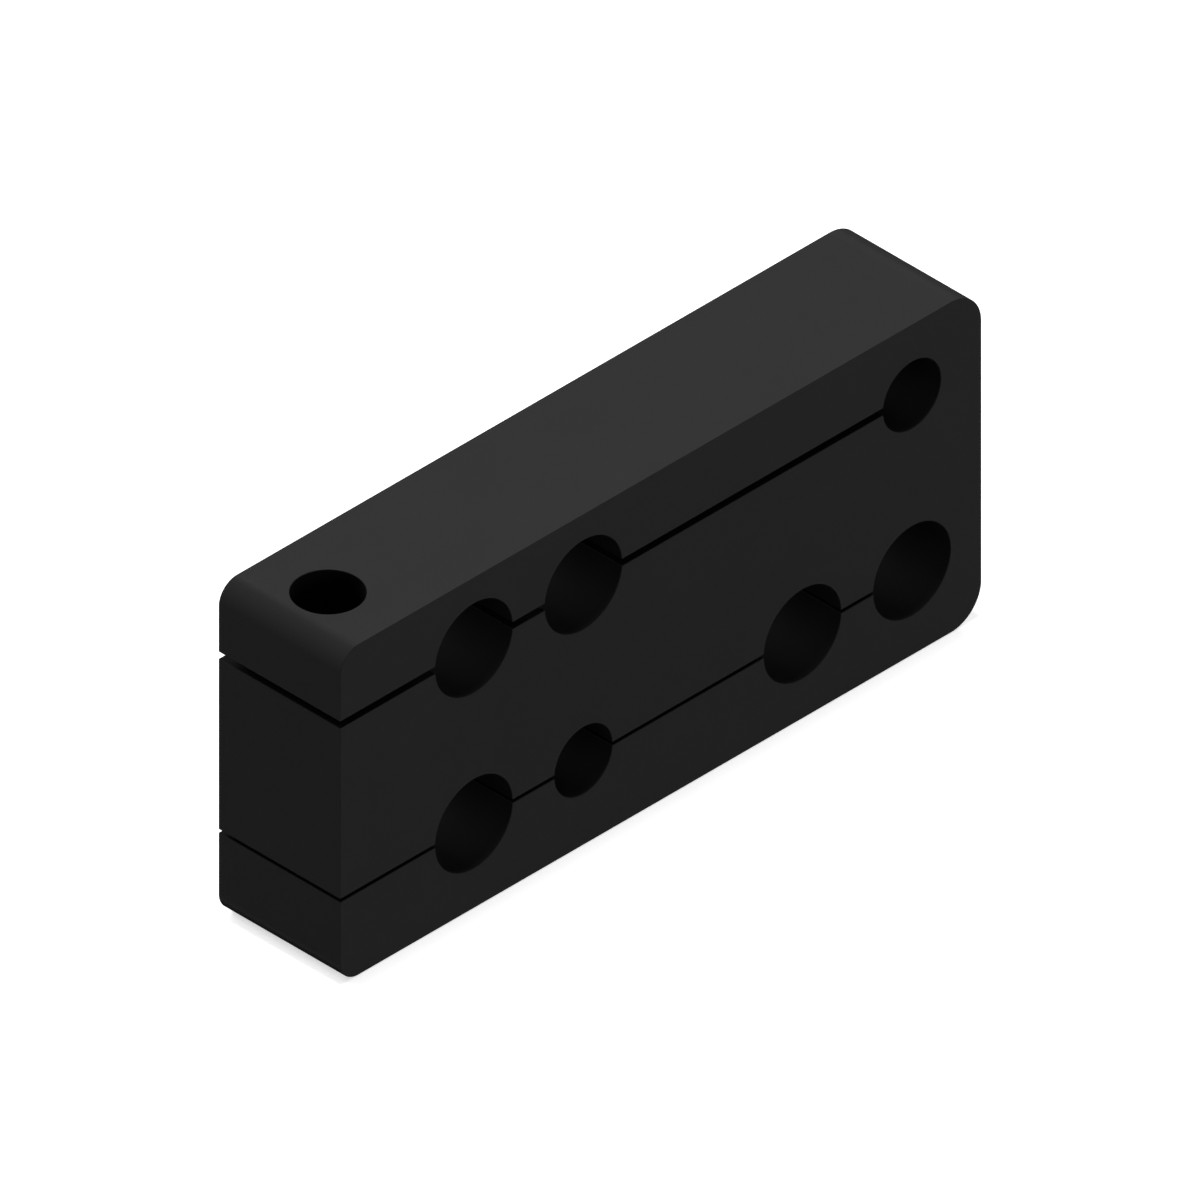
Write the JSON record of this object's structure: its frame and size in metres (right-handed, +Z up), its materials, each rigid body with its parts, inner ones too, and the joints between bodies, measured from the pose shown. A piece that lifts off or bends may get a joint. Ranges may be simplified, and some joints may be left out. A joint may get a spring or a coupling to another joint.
{
  "type": "block clamp",
  "caption": "Flat rounded block, slit into jaws from its open end, with rows of round through-bores that grip tube or rod when an upright bolt draws the jaws together.",
  "frame": {"origin": "middle of the underside", "axes": "+X along the block from the open end with the bolt hole to the closed end, +Y from the front face to the back face along the bores, +Z up along the bolt hole"},
  "size_m": [0.1054, 0.02, 0.047],
  "materials": {
    "black_anodise": "matte black anodised, fine blasted grain"
  },
  "bodies": {
    "root": {"clamp_block": "black_anodise"}
  },
  "joints": []
}
